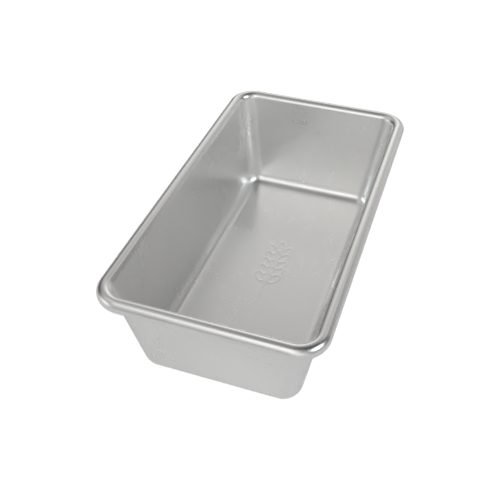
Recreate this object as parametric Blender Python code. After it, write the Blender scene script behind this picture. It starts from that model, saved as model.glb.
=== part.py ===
"""Loaf pan: one drawn aluminium sheet, with its edge rolled round a steel rim wire.

Metres, +Z up. The origin is the centre of the underside, where the pan stands.
The pan's length runs along Y and its width along X.
"""

import math

import bmesh
import bpy

# Driving dimensions
OPENING_LENGTH = 0.2032
OPENING_WIDTH = 0.1024
HEIGHT = 0.0634
FLOOR_LENGTH = 0.1814
FLOOR_WIDTH = 0.0859
SHEET = 0.001
ROLL_RADIUS = 0.0039
WIRE_CLEARANCE = 0.0003
WIRE_END_GAP = 0.0012

# Corner radii of the inner face, seen from above: at the opening, and where the walls would meet the floor
OPENING_CORNER_RADIUS = 0.0086
FLOOR_CORNER_RADIUS = 0.0095
# Radius between the floor and the walls, on the inner face: along the long sides, and along the ends
SIDE_FILLET_RADIUS = 0.008
END_FILLET_RADIUS = 0.0065
# Where the rolled edge stops, counted from the roll's outermost line, down and under
ROLL_END_ANGLE = math.radians(-128)

# Fineness of the mesh
CORNER_STEPS = 10
FILLET_STEPS = 7
ROLL_QUARTER_STEPS = 6
ROLL_END_STEPS = 9
WIRE_BEVEL_RESOLUTION = 4
SHARP_ANGLE = math.radians(40)

# The roll's centre line: its height, and how far outside the opening it runs
ROLL_HEIGHT = HEIGHT - ROLL_RADIUS
MEAN_TAPER = (OPENING_LENGTH + OPENING_WIDTH - FLOOR_LENGTH - FLOOR_WIDTH) / 4
WALL_LEAN = math.atan2(MEAN_TAPER, ROLL_HEIGHT - SHEET)
ROLL_OFFSET = ROLL_RADIUS / math.cos(WALL_LEAN)
WIRE_RADIUS = ROLL_RADIUS - SHEET - WIRE_CLEARANCE


def clear_scene():
    for existing in list(bpy.data.objects):
        bpy.data.objects.remove(existing, do_unlink=True)


def metal(name, colour, roughness):
    """A bare metal surface."""
    material = bpy.data.materials.new(name)
    material.use_nodes = True
    shader = material.node_tree.nodes["Principled BSDF"]
    shader.inputs["Base Color"].default_value = (*colour, 1.0)
    shader.inputs["Metallic"].default_value = 1.0
    shader.inputs["Roughness"].default_value = roughness
    return material


def mix(low, high, share):
    return low + (high - low) * share


def wall_outline(height):
    """Half width, half length and corner radius of the wall's inner face at a height."""
    share = (height - SHEET) / (ROLL_HEIGHT - SHEET)
    half_width = mix(FLOOR_WIDTH, OPENING_WIDTH, share) / 2
    half_length = mix(FLOOR_LENGTH, OPENING_LENGTH, share) / 2
    return half_width, half_length, mix(FLOOR_CORNER_RADIUS, OPENING_CORNER_RADIUS, share)


def directions():
    """The corners' outward directions, anticlockwise: the signs of each corner's X and Y, and an angle."""
    for quarter, (side_x, side_y) in enumerate(((1, 1), (-1, 1), (-1, -1), (1, -1))):
        for step in range(CORNER_STEPS + 1):
            yield side_x, side_y, math.radians(90) * (quarter + step / CORNER_STEPS)


def point_by_wall(direction, wall_height, outward, height):
    """A point at a height, outward from where the wall's inner face stands at wall_height."""
    side_x, side_y, angle = direction
    half_width, half_length, corner_radius = wall_outline(wall_height)
    reach = corner_radius + outward
    x = side_x * (half_width - corner_radius) + reach * math.cos(angle)
    y = side_y * (half_length - corner_radius) + reach * math.sin(angle)
    return x, y, height


def roll_ring(outward, upward):
    """A ring round the rim, placed from the roll's centre line."""
    place = (ROLL_HEIGHT, ROLL_OFFSET + outward, ROLL_HEIGHT + upward)
    return [point_by_wall(direction, *place) for direction in directions()]


def fillet_ring(turn):
    """A ring of the curve between floor and walls, from the floor's edge at -90 degrees up to the wall."""
    ring = []
    for direction in directions():
        radius = mix(SIDE_FILLET_RADIUS, END_FILLET_RADIUS, math.sin(direction[-1]) ** 2)
        centre_height = SHEET + radius
        outward = radius * (math.cos(turn) - 1 / math.cos(WALL_LEAN))
        height = centre_height + radius * math.sin(turn)
        ring.append(point_by_wall(direction, centre_height, outward, height))
    return ring


def arc(first_angle, last_angle, steps, radius):
    """Outward and upward distances from an arc's centre, point by point."""
    for step in range(steps + 1):
        angle = mix(first_angle, last_angle, step / steps)
        yield radius * math.cos(angle), radius * math.sin(angle)


def roll_arc():
    """The roll's outer face: up from the wall to the top, down to the outermost line, and under to the tip."""
    top = math.radians(90)
    yield from arc(math.pi - WALL_LEAN, top, ROLL_QUARTER_STEPS, ROLL_RADIUS)
    yield from list(arc(top, 0.0, ROLL_QUARTER_STEPS, ROLL_RADIUS))[1:]
    yield from list(arc(0.0, ROLL_END_ANGLE, ROLL_END_STEPS, ROLL_RADIUS))[1:]


def sheet_rings():
    """The sheet's inner and upper face as rings, from the edge of the flat floor to the tip of the roll."""
    rings = []
    for step in range(FILLET_STEPS + 1):
        rings.append(fillet_ring(mix(math.radians(-90), -WALL_LEAN, step / FILLET_STEPS)))
    for outward, upward in roll_arc():
        rings.append(roll_ring(outward, upward))
    return rings


def add_object(name, data, material, parent):
    piece = bpy.data.objects.new(name, data)
    data.materials.append(material)
    bpy.context.scene.collection.objects.link(piece)
    piece.parent = parent
    return piece


def make_pan_body(parent):
    """The drawn sheet: floor, four walls and rolled edge, as one face given the sheet's thickness."""
    build = bmesh.new()
    loops = [[build.verts.new(point) for point in ring] for ring in sheet_rings()]
    build.faces.new(loops[0])
    for inner, outer in zip(loops, loops[1:]):
        for index in range(len(inner)):
            following = (index + 1) % len(inner)
            build.faces.new((inner[index], outer[index], outer[following], inner[following]))
    mesh = bpy.data.meshes.new("pan_body")
    build.to_mesh(mesh)
    build.free()
    mesh.shade_smooth()
    mesh.set_sharp_from_angle(angle=SHARP_ANGLE)
    body = add_object("pan_body", mesh, metal("satin_aluminium", (0.62, 0.62, 0.61), 0.38), parent)
    solidify = body.modifiers.new("sheet thickness", "SOLIDIFY")
    solidify.thickness = SHEET
    solidify.offset = -1.0
    solidify.use_even_offset = True
    return body


def make_rim_wire(parent):
    """The wire inside the roll: one length, bent round the rim, its ends butting on the +X side."""
    ring = roll_ring(0.0, 0.0)
    side_x = ring[0][0]
    first_end = (side_x, WIRE_END_GAP / 2, ROLL_HEIGHT)
    last_end = (side_x, -WIRE_END_GAP / 2, ROLL_HEIGHT)
    route = [first_end, *ring, last_end]
    curve = bpy.data.curves.new("rim_wire", "CURVE")
    curve.dimensions = "3D"
    curve.bevel_depth = WIRE_RADIUS
    curve.bevel_resolution = WIRE_BEVEL_RESOLUTION
    curve.use_fill_caps = True
    spline = curve.splines.new("POLY")
    spline.points.add(len(route) - 1)
    for point, place in zip(spline.points, route):
        point.co = (*place, 1.0)
    return add_object("rim_wire", curve, metal("bright_steel", (0.56, 0.57, 0.58), 0.35), parent)


def main():
    clear_scene()
    pan = bpy.data.objects.new("loaf_pan", None)
    bpy.context.scene.collection.objects.link(pan)
    make_pan_body(pan)
    make_rim_wire(pan)


main()
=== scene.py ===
"""Loaf pan: a drawn sheet of satin aluminium, its edge rolled round a steel wire."""

import math

import bmesh
import bpy
import numpy as np
from mathutils import Matrix, Vector


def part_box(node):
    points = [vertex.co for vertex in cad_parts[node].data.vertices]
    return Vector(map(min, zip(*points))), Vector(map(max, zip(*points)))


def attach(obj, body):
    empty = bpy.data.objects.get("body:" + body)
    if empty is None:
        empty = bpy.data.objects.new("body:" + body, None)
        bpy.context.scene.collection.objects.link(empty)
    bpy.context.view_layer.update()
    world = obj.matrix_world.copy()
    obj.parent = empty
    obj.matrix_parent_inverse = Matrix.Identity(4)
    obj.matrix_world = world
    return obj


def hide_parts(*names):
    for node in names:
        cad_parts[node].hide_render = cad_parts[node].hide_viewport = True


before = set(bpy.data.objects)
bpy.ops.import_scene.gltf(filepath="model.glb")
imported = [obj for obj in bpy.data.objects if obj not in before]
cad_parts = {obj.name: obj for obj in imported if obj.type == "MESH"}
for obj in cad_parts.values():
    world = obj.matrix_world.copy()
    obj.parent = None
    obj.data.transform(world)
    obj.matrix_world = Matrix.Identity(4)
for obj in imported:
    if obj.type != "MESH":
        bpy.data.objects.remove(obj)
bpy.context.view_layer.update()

# Driving dimensions of the sheet, in metres, as the CAD part has them
SHEET = 0.001
ROLL_RADIUS = 0.0039
OPENING_CORNER_RADIUS = 0.0086
FLOOR_WIDTH = 0.0859
FLOOR_LENGTH = 0.1814
FLOOR_CORNER_RADIUS = 0.0095
SIDE_FILLET_RADIUS = 0.008
END_FILLET_RADIUS = 0.0065
ROLL_END_ANGLE = math.radians(-128)
WIRE_CLEARANCE = 0.0003
WIRE_END_GAP = 0.0012

BODY_LOW, BODY_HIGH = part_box("pan_body")
BASE = BODY_LOW.z
ROLL_HEIGHT = BODY_HIGH.z - ROLL_RADIUS
ROLL_HALF_WIDTH = BODY_HIGH.x - ROLL_RADIUS
ROLL_HALF_LENGTH = BODY_HIGH.y - ROLL_RADIUS
WIRE_RADIUS = ROLL_RADIUS - SHEET - WIRE_CLEARANCE

# Fineness of the meshes
CORNER_STEPS = 24
LONG_SIDE_STEPS = 40
SHORT_SIDE_STEPS = 20
FILLET_STEPS = 16
WALL_STEPS = 14
ROLL_STEPS = 48
TIP_STEPS = 8
WIRE_SIDES = 24
WIRE_SHARP_ANGLE = math.radians(35)
OFFSET_ROUNDS = 20

# Name of the attribute that says where a vertex stands round the rim and how far it is from the floor
DRAW_ATTRIBUTE = "draw_direction"


def mix(low, high, share):
    return low + (high - low) * share


# ---------------------------------------------------------------- the sheet's outlines

def find_offset():
    """How far the roll's centre line stands outside the wall's inner face, so that they meet smoothly."""
    lean = 0.0
    for _ in range(OFFSET_ROUNDS):
        offset = ROLL_RADIUS / math.cos(lean)
        opening = ROLL_HALF_WIDTH + ROLL_HALF_LENGTH - 2 * offset
        taper = (opening - (FLOOR_WIDTH + FLOOR_LENGTH) / 2) / 2
        lean = math.atan2(taper, ROLL_HEIGHT - SHEET)
    return offset


ROLL_OFFSET = find_offset()
FLOOR_OUTLINE = np.array((FLOOR_WIDTH / 2, FLOOR_LENGTH / 2, FLOOR_CORNER_RADIUS))
OPENING_OUTLINE = np.array(
    (ROLL_HALF_WIDTH - ROLL_OFFSET, ROLL_HALF_LENGTH - ROLL_OFFSET, OPENING_CORNER_RADIUS)
)


class Outline:
    """The directions round a rounded rectangle, and the wall's lean in each of them."""

    def __init__(self):
        signs_x, signs_y, angles = [], [], []
        for quarter, (sign_x, sign_y) in enumerate(((1, 1), (-1, 1), (-1, -1), (1, -1))):
            for step in range(CORNER_STEPS + 1):
                signs_x.append(sign_x)
                signs_y.append(sign_y)
                angles.append(math.pi / 2 * (quarter + step / CORNER_STEPS))
        self.sign_x = np.array(signs_x, float)
        self.sign_y = np.array(signs_y, float)
        self.normal_x = np.cos(angles)
        self.normal_y = np.sin(angles)
        slope = self.section(OPENING_OUTLINE) - self.section(FLOOR_OUTLINE)
        self.lean = np.arctan2(slope, ROLL_HEIGHT - SHEET)
        self.fillet = mix(SIDE_FILLET_RADIUS, END_FILLET_RADIUS, self.normal_y**2)

    def section(self, outline):
        """Distance from the middle to the outline's tangent, in each direction."""
        half_width, half_length, radius = outline
        straight_x = (half_width - radius) * np.abs(self.normal_x)
        straight_y = (half_length - radius) * np.abs(self.normal_y)
        return straight_x + straight_y + radius

    def ring(self, wall_height, outward, height):
        """Points outward from the wall's inner face at wall_height; all three may differ by direction."""
        share = (wall_height - SHEET) / (ROLL_HEIGHT - SHEET)
        half_width, half_length, radius = (
            mix(low, high, share) for low, high in zip(FLOOR_OUTLINE, OPENING_OUTLINE)
        )
        reach = radius + outward
        x = self.sign_x * (half_width - radius) + reach * self.normal_x
        y = self.sign_y * (half_length - radius) + reach * self.normal_y
        return self.with_sides(np.stack([x, y, np.broadcast_to(height, x.shape)], axis=1))

    def with_sides(self, corners):
        """Adds evenly spaced points along the four straight sides."""
        points = []
        per_corner = CORNER_STEPS + 1
        for quarter in range(4):
            corner = corners[quarter * per_corner : (quarter + 1) * per_corner]
            following = corners[(quarter + 1) * per_corner % len(corners)]
            steps = SHORT_SIDE_STEPS if quarter % 2 == 0 else LONG_SIDE_STEPS
            points.extend(corner)
            for step in range(1, steps):
                points.append(mix(corner[-1], following, step / steps))
        return np.array(points)


OUTLINE = Outline()


def fillet_rings(face, reverse=False):
    """The curve between the floor and the walls; both faces turn about the same centre."""
    rings = []
    radius = OUTLINE.fillet
    centre_height = SHEET + radius
    for step in range(FILLET_STEPS + 1):
        angle = mix(-math.pi / 2, -OUTLINE.lean, step / FILLET_STEPS)
        outward = (radius + face) * np.cos(angle) - radius / np.cos(OUTLINE.lean)
        height = centre_height + (radius + face) * np.sin(angle)
        rings.append(OUTLINE.ring(centre_height, outward, height))
    return rings[::-1] if reverse else rings


def wall_rings(face, reverse=False):
    """The straight wall; face is how far this face stands outside the inner one."""
    rings = []
    lean = OUTLINE.lean
    low = SHEET + OUTLINE.fillet - (OUTLINE.fillet + face) * np.sin(lean)
    high = ROLL_HEIGHT + (ROLL_RADIUS - face) * np.sin(lean)
    settle = ROLL_OFFSET - ROLL_RADIUS / np.cos(lean)
    for step in range(1, WALL_STEPS):
        share = (1 - math.cos(math.pi * step / WALL_STEPS)) / 2
        height = mix(low, high, share)
        rings.append(OUTLINE.ring(height, settle * share + face / np.cos(lean), height))
    return rings[::-1] if reverse else rings


def roll_rings(radius, reverse=False):
    """The roll, from where it leaves the wall, over the top and down to its tip."""
    rings = []
    for step in range(ROLL_STEPS + 1):
        angle = mix(math.pi - OUTLINE.lean, ROLL_END_ANGLE, step / ROLL_STEPS)
        outward = ROLL_OFFSET + radius * np.cos(angle)
        rings.append(OUTLINE.ring(ROLL_HEIGHT, outward, ROLL_HEIGHT + radius * np.sin(angle)))
    return rings[::-1] if reverse else rings


def tip_rings():
    """The sheet's rounded edge at the end of the roll."""
    rings = []
    middle = ROLL_RADIUS - SHEET / 2
    for step in range(1, TIP_STEPS):
        turn = math.pi * step / TIP_STEPS
        radius = middle + SHEET / 2 * math.cos(turn)
        past = -SHEET / 2 * math.sin(turn) / middle
        angle = ROLL_END_ANGLE + past
        outward = ROLL_OFFSET + radius * math.cos(angle)
        height = ROLL_HEIGHT + radius * math.sin(angle)
        rings.append(OUTLINE.ring(ROLL_HEIGHT, outward, height))
    return rings


def build_pan():
    """The whole sheet as one closed skin: floor, fillet, wall, roll, tip, and back down outside."""
    inner = fillet_rings(0.0) + wall_rings(0.0) + roll_rings(ROLL_RADIUS)
    outer = (
        roll_rings(ROLL_RADIUS - SHEET, reverse=True)
        + wall_rings(SHEET, reverse=True)
        + fillet_rings(SHEET, reverse=True)
    )
    rings = np.array(inner + tip_rings() + outer)
    rings[:, :, 2] = np.maximum(rings[:, :, 2], BASE)
    build = bmesh.new()
    loops = [[build.verts.new(point) for point in ring] for ring in rings]
    for below, above in zip(loops, loops[1:]):
        for index in range(len(below)):
            following = (index + 1) % len(below)
            build.faces.new((below[index], above[index], above[following], below[following]))
    floor_face(build, loops[0], SHEET)
    floor_face(build, loops[-1], BASE)
    bmesh.ops.recalc_face_normals(build, faces=build.faces)
    mesh = bpy.data.meshes.new("pan_shell")
    build.to_mesh(mesh)
    build.free()
    mesh.shade_smooth()
    store_draw_direction(mesh, rings)
    return add_piece("pan_shell", mesh)


def store_draw_direction(mesh, rings):
    """Per vertex: a place round the rim that stays the same up the wall, and the way from the floor."""
    steps = np.linalg.norm(np.diff(rings, axis=0), axis=2)
    from_floor = np.concatenate([np.zeros((1, rings.shape[1])), np.cumsum(steps, axis=0)])
    from_floor = np.minimum(from_floor, from_floor[-1] - from_floor)
    around = np.broadcast_to(OUTLINE.ring(ROLL_HEIGHT, 0.0, 0.0)[:, :2], (*rings.shape[:2], 2))
    on_rings = np.concatenate([around, from_floor[:, :, None]], axis=2).reshape(-1, 3)
    values = np.zeros((len(mesh.vertices), 3))
    mesh.vertices.foreach_get("co", values.reshape(-1))
    values[:, 2] = 0.0
    values[: len(on_rings)] = on_rings
    attribute = mesh.attributes.new(DRAW_ATTRIBUTE, "FLOAT_VECTOR", "POINT")
    attribute.data.foreach_set("vector", values.reshape(-1))


# ---------------------------------------------------------------- the floor and its low relief

# A plain ear of wheat that lies along Y: the grid that carries it, its ridges, its stem and its kernels
RELIEF_HALF_WIDTH = 0.0104
RELIEF_HALF_LENGTH = 0.0316
RELIEF_STEP = 0.0004
RELIEF_HEIGHT = 0.00008
RELIEF_LINE = 0.0008
STEM_START, STEM_END = -0.027, -0.004
KERNEL_PAIRS = 5
FIRST_KERNEL_Y = -0.005
KERNEL_SPACING = 0.0066
KERNEL_X = 0.0045
KERNEL_TURN = math.radians(30)
KERNEL_HALF_WIDTH = 0.0023
KERNEL_HALF_LENGTH = 0.0046
TIP_KERNEL_Y = 0.0250
# Size of the floor's flat middle, as a share of the whole flat
FLAT_SHARE = 0.99


def ridge(distance):
    """A rounded ridge's height, from 1 on its line down to 0 beside it."""
    share = np.clip(1 - np.abs(distance) / RELIEF_LINE, 0, 1)
    return share * share * (3 - 2 * share)


def kernel(x, y, centre_x, centre_y, turn):
    """The outline of one kernel, an oval whose long axis is turned away from Y."""
    across = (x - centre_x) * math.cos(turn) - (y - centre_y) * math.sin(turn)
    along = (x - centre_x) * math.sin(turn) + (y - centre_y) * math.cos(turn)
    oval = np.hypot(across / KERNEL_HALF_WIDTH, along / KERNEL_HALF_LENGTH)
    return ridge((oval - 1) * KERNEL_HALF_WIDTH)


def wheat_ear(x, y):
    """Height of the relief, from 0 to 1."""
    height = ridge(np.hypot(x, y - np.clip(y, STEM_START, STEM_END)))
    for pair in range(KERNEL_PAIRS):
        centre_y = FIRST_KERNEL_Y + KERNEL_SPACING * pair
        for side in (-1, 1):
            height = np.maximum(height, kernel(x, y, side * KERNEL_X, centre_y, side * KERNEL_TURN))
    return np.maximum(height, kernel(x, y, 0.0, TIP_KERNEL_Y, 0.0))


def floor_face(build, loop, height):
    """A flat face inside a loop, with a fine grid in its middle that carries the low relief."""
    xs = np.arange(-RELIEF_HALF_WIDTH, RELIEF_HALF_WIDTH + RELIEF_STEP / 2, RELIEF_STEP)
    ys = np.arange(-RELIEF_HALF_LENGTH, RELIEF_HALF_LENGTH + RELIEF_STEP / 2, RELIEF_STEP)
    rise = height + wheat_ear(*np.meshgrid(xs, ys)) * RELIEF_HEIGHT
    rows = []
    for y, heights in zip(ys, rise):
        rows.append([build.verts.new((x, y, z)) for x, z in zip(xs, heights)])
    for low_row, high_row in zip(rows, rows[1:]):
        for col in range(len(xs) - 1):
            build.faces.new((low_row[col], low_row[col + 1], high_row[col + 1], high_row[col]))
    inset = []
    for vertex in loop:
        inset.append(build.verts.new((vertex.co.x * FLAT_SHARE, vertex.co.y * FLAT_SHARE, height)))
    for index in range(len(loop)):
        following = (index + 1) % len(loop)
        build.faces.new((loop[index], loop[following], inset[following], inset[index]))
    right_side = [row[-1] for row in rows[:-1]]
    left_side = [row[0] for row in rows[:0:-1]]
    border = rows[0][:-1] + right_side + rows[-1][:0:-1] + left_side
    edges = []
    for ring in (inset, border):
        for index in range(len(ring)):
            edges.append(build.edges.get((ring[index], ring[(index + 1) % len(ring)])))
    bmesh.ops.triangle_fill(build, edges=edges, use_beauty=True, normal=(0, 0, 1))


# ---------------------------------------------------------------- the wire in the roll

WIRE_CHAMFER = 0.0004


def wire_stations():
    """Places along the rim wire and its radius there, from one end round to the other."""
    centre = OUTLINE.ring(ROLL_HEIGHT, ROLL_OFFSET, ROLL_HEIGHT)
    side_x = centre[0][0]
    end = WIRE_END_GAP / 2
    end_radius = WIRE_RADIUS - WIRE_CHAMFER
    route = [((side_x, end, ROLL_HEIGHT), end_radius)]
    route.append(((side_x, end + WIRE_CHAMFER, ROLL_HEIGHT), WIRE_RADIUS))
    for point in centre:
        beside_butt = point[0] > side_x - WIRE_CHAMFER and abs(point[1]) < WIRE_RADIUS
        if not beside_butt:
            route.append((tuple(point), WIRE_RADIUS))
    route.append(((side_x, -end - WIRE_CHAMFER, ROLL_HEIGHT), WIRE_RADIUS))
    route.append(((side_x, -end, ROLL_HEIGHT), end_radius))
    return route


def build_wire():
    """The rim wire inside the roll: one bent length whose chamfered ends butt on the +X side."""
    route = wire_stations()
    places = np.array([place for place, _ in route])
    ahead = np.gradient(places, axis=0)
    ahead /= np.linalg.norm(ahead, axis=1)[:, None]
    build = bmesh.new()
    loops = []
    for (place, radius), direction in zip(route, ahead):
        side = np.array((direction[1], -direction[0], 0.0))
        loop = []
        for step in range(WIRE_SIDES):
            turn = 2 * math.pi * step / WIRE_SIDES
            point = np.array(place) + side * radius * math.cos(turn)
            point[2] += radius * math.sin(turn)
            loop.append(build.verts.new(point))
        loops.append(loop)
    for below, above in zip(loops, loops[1:]):
        for index in range(WIRE_SIDES):
            following = (index + 1) % WIRE_SIDES
            build.faces.new((below[index], below[following], above[following], above[index]))
    build.faces.new(loops[0][::-1])
    build.faces.new(loops[-1])
    bmesh.ops.recalc_face_normals(build, faces=build.faces)
    mesh = bpy.data.meshes.new("rim_wire_fine")
    build.to_mesh(mesh)
    build.free()
    mesh.shade_smooth()
    mesh.set_sharp_from_angle(angle=WIRE_SHARP_ANGLE)
    return add_piece("rim_wire_fine", mesh)


def add_piece(name, data):
    """A new object in the scene."""
    piece = bpy.data.objects.new(name, data)
    bpy.context.scene.collection.objects.link(piece)
    return piece


# ---------------------------------------------------------------- materials

# Noise scales are in cycles to the metre, depths in metres
ALUMINIUM_LIGHT = (0.92, 0.92, 0.915)
ALUMINIUM_DARK = (0.895, 0.895, 0.89)
ALUMINIUM_ROUGHNESS = (0.27, 0.33)
CLOUD_SCALE = 38.0
SMUDGE_SCALE = 160.0
CLOUD_RANGE = (0.3, 0.7)
CLOUD_AND_SMUDGE_RANGE = (0.75, 1.25)
GRAIN_SCALE = 1500.0
GRAIN_DETAIL = 2.0
GRAIN_DEPTH = 0.0000006
# Draw marks: how fine they are round the rim, how drawn out up the wall, and where they fade in
DRAW_SCALE = 1300.0
DRAW_STRETCH = 0.03
DRAW_FADE = (0.002, 0.014)
DRAW_ROUGHNESS = 0.06
DRAW_DEPTH = 0.000001
# The top of the rim, polished by use
WEAR_FADE = (BODY_HIGH.z - 0.0016, BODY_HIGH.z - 0.0002)
WEAR_ROUGHNESS = 0.10

STEEL_DARK = (0.50, 0.51, 0.52)
STEEL_LIGHT = (0.62, 0.63, 0.64)
STEEL_ROUGHNESS = (0.26, 0.44)
SPANGLE_SCALE = 700.0
SPANGLE_RANGE = (0.3, 0.7)
STEEL_GRAIN_SCALE = 3000.0
STEEL_GRAIN_DEPTH = 0.00001
# A share that runs from none to all
WHOLE = (0.0, 1.0)


class Surface:
    """A metal's node tree, built up from its Principled shader."""

    def __init__(self, name):
        self.material = bpy.data.materials.new(name)
        self.material.use_nodes = True
        self.tree = self.material.node_tree
        self.shader = self.tree.nodes["Principled BSDF"]
        self.shader.inputs["Metallic"].default_value = 1.0
        self.place = self.tree.nodes.new("ShaderNodeTexCoord").outputs["Object"]

    def link(self, value, socket):
        """Feeds a socket from another socket, or sets its number."""
        if isinstance(value, bpy.types.NodeSocket):
            self.tree.links.new(value, socket)
        else:
            socket.default_value = value

    def scaled(self, vector, factors):
        """A vector multiplied axis by axis."""
        node = self.tree.nodes.new("ShaderNodeVectorMath")
        node.operation = "MULTIPLY"
        self.link(vector, node.inputs[0])
        node.inputs[1].default_value = factors
        return node.outputs["Vector"]

    def third_part(self, vector):
        """A vector's Z."""
        node = self.tree.nodes.new("ShaderNodeSeparateXYZ")
        self.link(vector, node.inputs["Vector"])
        return node.outputs["Z"]

    def noise(self, vector, scale, detail=3.0):
        """Soft random patches, from 0 to 1."""
        node = self.tree.nodes.new("ShaderNodeTexNoise")
        self.link(vector, node.inputs["Vector"])
        node.inputs["Scale"].default_value = scale
        node.inputs["Detail"].default_value = detail
        return node.outputs["Fac"]

    def spread(self, value, source, target):
        """A value's share of the source range, laid over the target range."""
        node = self.tree.nodes.new("ShaderNodeMapRange")
        self.link(value, node.inputs["Value"])
        for socket, number in zip(("From Min", "From Max", "To Min", "To Max"), (*source, *target)):
            node.inputs[socket].default_value = number
        return node.outputs["Result"]

    def math(self, operation, first, second):
        """A sum, difference, product or the like of two values."""
        node = self.tree.nodes.new("ShaderNodeMath")
        node.operation = operation
        self.link(first, node.inputs[0])
        self.link(second, node.inputs[1])
        return node.outputs["Value"]

    def blend(self, share, low, high):
        """A colour between two colours."""
        node = self.tree.nodes.new("ShaderNodeMix")
        node.data_type = "RGBA"
        self.link(share, node.inputs["Factor"])
        node.inputs["A"].default_value = (*low, 1.0)
        node.inputs["B"].default_value = (*high, 1.0)
        return node.outputs["Result"]

    def bump(self, height, depth, below=None):
        """A surface raised by up to depth metres."""
        node = self.tree.nodes.new("ShaderNodeBump")
        node.inputs["Strength"].default_value = 1.0
        node.inputs["Distance"].default_value = depth
        self.link(height, node.inputs["Height"])
        if below is not None:
            self.link(below, node.inputs["Normal"])
        return node.outputs["Normal"]


def draw_lines(surface):
    """Fine marks that run up the walls, as the sheet was drawn; they fade out towards the floor."""
    node = surface.tree.nodes.new("ShaderNodeAttribute")
    node.attribute_name = DRAW_ATTRIBUTE
    place = node.outputs["Vector"]
    lines = surface.noise(surface.scaled(place, (1.0, 1.0, DRAW_STRETCH)), DRAW_SCALE)
    on_wall = surface.spread(surface.third_part(place), DRAW_FADE, WHOLE)
    return surface.math("MULTIPLY", surface.math("SUBTRACT", lines, 0.5), on_wall)


def aluminium():
    """Satin sheet: fine grain, draw marks up the walls, faint clouds and smudges, a worn rim."""
    surface = Surface("satin_aluminium_fine")
    grain_height = surface.noise(surface.place, GRAIN_SCALE, GRAIN_DETAIL)
    cloud = surface.noise(surface.place, CLOUD_SCALE)
    smudge = surface.noise(surface.place, SMUDGE_SCALE)
    marks = draw_lines(surface)
    colour = surface.blend(surface.spread(cloud, CLOUD_RANGE, WHOLE), ALUMINIUM_DARK, ALUMINIUM_LIGHT)
    surface.link(colour, surface.shader.inputs["Base Color"])

    both = surface.math("ADD", cloud, smudge)
    patchy = surface.spread(both, CLOUD_AND_SMUDGE_RANGE, ALUMINIUM_ROUGHNESS)
    lined = surface.math("ADD", patchy, surface.math("MULTIPLY", marks, DRAW_ROUGHNESS))
    near_top = surface.spread(surface.third_part(surface.place), WEAR_FADE, WHOLE)
    wear = surface.math("MULTIPLY", near_top, smudge)
    worn = surface.math("SUBTRACT", lined, surface.math("MULTIPLY", wear, WEAR_ROUGHNESS))
    surface.link(worn, surface.shader.inputs["Roughness"])

    fine = surface.bump(grain_height, GRAIN_DEPTH)
    surface.link(surface.bump(marks, DRAW_DEPTH, fine), surface.shader.inputs["Normal"])
    return surface.material


def steel():
    """Galvanised wire: small dull and bright patches."""
    surface = Surface("bright_steel_fine")
    patches = surface.noise(surface.place, SPANGLE_SCALE)
    surface.link(surface.blend(patches, STEEL_DARK, STEEL_LIGHT), surface.shader.inputs["Base Color"])
    roughness = surface.spread(patches, SPANGLE_RANGE, STEEL_ROUGHNESS)
    surface.link(roughness, surface.shader.inputs["Roughness"])
    fine = surface.noise(surface.place, STEEL_GRAIN_SCALE)
    surface.link(surface.bump(fine, STEEL_GRAIN_DEPTH), surface.shader.inputs["Normal"])
    return surface.material


# ---------------------------------------------------------------- stage, light and camera

FLOOR_RADIUS = 6.0
FLOOR_SIDES = 96
FLOOR_DROP = 0.0001
FLOOR_ALBEDO = 0.6
BACKDROP_RADIUS = 9.0
BACKDROP_SUBDIVISIONS = 3
BACKDROP_GLOW = 1.0
FLOOR_GLOW = 0.75
BOUNCE_DROP = 0.0002
BOUNCE_ALBEDO = 0.9
BOUNCE_GLOW = 0.058
MATT_ROUGHNESS = 0.9

# The studio's soft lights: azimuth from +Y towards +X and elevation, in degrees, then tightness,
# brightness and tint
WARM = (1.0, 0.99, 0.965)
COOL = (0.95, 0.985, 1.0)
SOFT_LIGHTS = (
    (96, 34, 45.0, 6.2, COOL),
    (180, 30, 14.0, 0.94, WARM),
    (180, 55, 14.0, 0.62, WARM),
    (270, 55, 14.0, 0.69, WARM),
    (0, 30, 14.0, 0.40, WARM),
    (330, 30, 14.0, 0.52, WARM),
    (0, 55, 14.0, 0.18, WARM),
    (30, 8, 14.0, 0.64, WARM),
    (350, 22, 40.0, 0.55, WARM),
    (30, 46, 60.0, 0.50, WARM),
    (150, 8, 14.0, 0.97, COOL),
    (240, 8, 14.0, 1.38, WARM),
)
# The one near softbox, above the camera and to its left
SOFTBOX_PLACE = (-0.125, -0.328, 0.451)
SOFTBOX_AIM = (0.0, -0.02, 0.04)
SOFTBOX_SIZE = (0.35, 0.25)
SOFTBOX_WATTS = 0.125

# The camera: place in metres, angles in radians, lens and sensor in millimetres
# Yaw turns it from +Y towards +X, and pitch tips it down
CAMERA_PLACE = (0.0941, -0.3072, 0.3027)
CAMERA_YAW = -0.335
CAMERA_PITCH = 0.723
CAMERA_ROLL = -0.002
LENS = 50.9
SENSOR = 36.0


def toward(azimuth, elevation):
    """The unit vector at an azimuth from +Y towards +X, and an elevation, in degrees."""
    turn, rise = math.radians(azimuth), math.radians(elevation)
    return (math.sin(turn) * math.cos(rise), math.cos(turn) * math.cos(rise), math.sin(rise))


def disc(name, radius, height, albedo, glow):
    """A flat white disc for the studio."""
    build = bmesh.new()
    bmesh.ops.create_circle(build, cap_ends=True, radius=radius, segments=FLOOR_SIDES)
    mesh = bpy.data.meshes.new(name)
    build.to_mesh(mesh)
    build.free()
    piece = add_piece(name, mesh)
    piece.location.z = height
    mesh.materials.append(matt_white(name, albedo, glow))
    return piece


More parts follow.
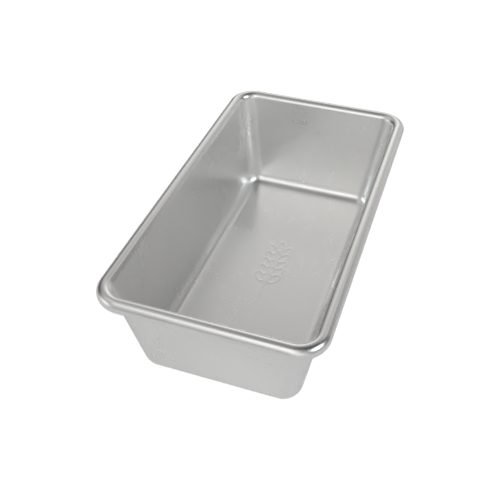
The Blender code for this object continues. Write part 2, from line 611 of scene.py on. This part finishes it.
def matt_white(name, albedo, glow):
    """White with no shine, which may also glow."""
    material = bpy.data.materials.new(name)
    material.use_nodes = True
    shader = material.node_tree.nodes["Principled BSDF"]
    shader.inputs["Base Color"].default_value = (albedo, albedo, albedo, 1.0)
    shader.inputs["Roughness"].default_value = MATT_ROUGHNESS
    shader.inputs["Specular IOR Level"].default_value = 0.0
    shader.inputs["Emission Color"].default_value = (1.0, 1.0, 1.0, 1.0)
    shader.inputs["Emission Strength"].default_value = glow
    return material


def seen_only_by_camera(piece):
    """Keeps a piece out of every reflection and shadow."""
    piece.visible_diffuse = False
    piece.visible_glossy = False
    piece.visible_transmission = False
    piece.visible_volume_scatter = False
    piece.visible_shadow = False


def build_stage():
    """A white floor and backdrop for the eye, and under them the floor that lights the pan from below."""
    seen_only_by_camera(disc("studio_floor", FLOOR_RADIUS, BASE - FLOOR_DROP, FLOOR_ALBEDO, FLOOR_GLOW))
    bounce = disc("bounce_floor", FLOOR_RADIUS, BASE - BOUNCE_DROP, BOUNCE_ALBEDO, BOUNCE_GLOW)
    bounce.visible_camera = False
    build = bmesh.new()
    bmesh.ops.create_icosphere(build, subdivisions=BACKDROP_SUBDIVISIONS, radius=BACKDROP_RADIUS)
    mesh = bpy.data.meshes.new("studio_backdrop")
    build.to_mesh(mesh)
    build.free()
    mesh.materials.append(matt_white("backdrop_white", 0.0, BACKDROP_GLOW))
    backdrop = add_piece("studio_backdrop", mesh)
    seen_only_by_camera(backdrop)


def build_world():
    """A dark studio with large soft lights round it."""
    world = bpy.data.worlds.new("studio")
    world.use_nodes = True
    tree = world.node_tree
    background = tree.nodes["Background"]
    direction = tree.nodes.new("ShaderNodeTexCoord").outputs["Generated"]

    def math_node(operation, first, second=None, third=None):
        node = tree.nodes.new("ShaderNodeMath")
        node.operation = operation
        for socket, value in zip(node.inputs, (first, second, third)):
            if isinstance(value, bpy.types.NodeSocket):
                tree.links.new(value, socket)
            elif value is not None:
                socket.default_value = value
        return node.outputs["Value"]

    def dot(vector):
        node = tree.nodes.new("ShaderNodeVectorMath")
        node.operation = "DOT_PRODUCT"
        tree.links.new(direction, node.inputs[0])
        node.inputs[1].default_value = vector
        return node.outputs["Value"]

    def add_light(share, colour, total):
        node = tree.nodes.new("ShaderNodeVectorMath")
        node.operation = "MULTIPLY_ADD"
        tree.links.new(share, node.inputs[0])
        node.inputs[1].default_value = colour
        if total is not None:
            tree.links.new(total, node.inputs[2])
        return node.outputs["Vector"]

    total = None
    for azimuth, elevation, tightness, brightness, tint in SOFT_LIGHTS:
        nearness = dot(toward(azimuth, elevation))
        lobe = math_node("EXPONENT", math_node("MULTIPLY_ADD", nearness, tightness, -tightness))
        total = add_light(lobe, [brightness * part for part in tint], total)
    tree.links.new(total, background.inputs["Color"])
    bpy.context.scene.world = world
    bpy.context.scene.view_settings.view_transform = "Standard"


def build_softbox():
    """The near light, a soft panel."""
    data = bpy.data.lights.new("softbox", "AREA")
    data.shape = "RECTANGLE"
    data.size, data.size_y = SOFTBOX_SIZE
    data.energy = SOFTBOX_WATTS
    softbox = bpy.data.objects.new("softbox", data)
    bpy.context.scene.collection.objects.link(softbox)
    softbox.location = SOFTBOX_PLACE
    aim = Vector(SOFTBOX_AIM) - Vector(SOFTBOX_PLACE)
    softbox.rotation_euler = aim.to_track_quat("-Z", "Y").to_euler()
    softbox.visible_camera = False


def build_camera():
    """The camera at the eye's place, looking down into the pan from one end."""
    data = bpy.data.cameras.new("camera")
    data.lens = LENS
    data.sensor_width = SENSOR
    camera = bpy.data.objects.new("camera", data)
    bpy.context.scene.collection.objects.link(camera)
    turn = Matrix.Rotation(-CAMERA_YAW, 4, "Z")
    tilt = Matrix.Rotation(math.pi / 2 - CAMERA_PITCH, 4, "X")
    roll = Matrix.Rotation(CAMERA_ROLL, 4, "Z")
    camera.matrix_world = Matrix.Translation(CAMERA_PLACE) @ turn @ tilt @ roll
    bpy.context.scene.camera = camera


build_stage()
build_world()
build_softbox()
build_camera()

pan = build_pan()
pan.data.materials.append(aluminium())
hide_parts("pan_body")
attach(pan, "root")

wire = build_wire()
wire.data.materials.append(steel())
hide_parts("rim_wire")
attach(wire, "root")
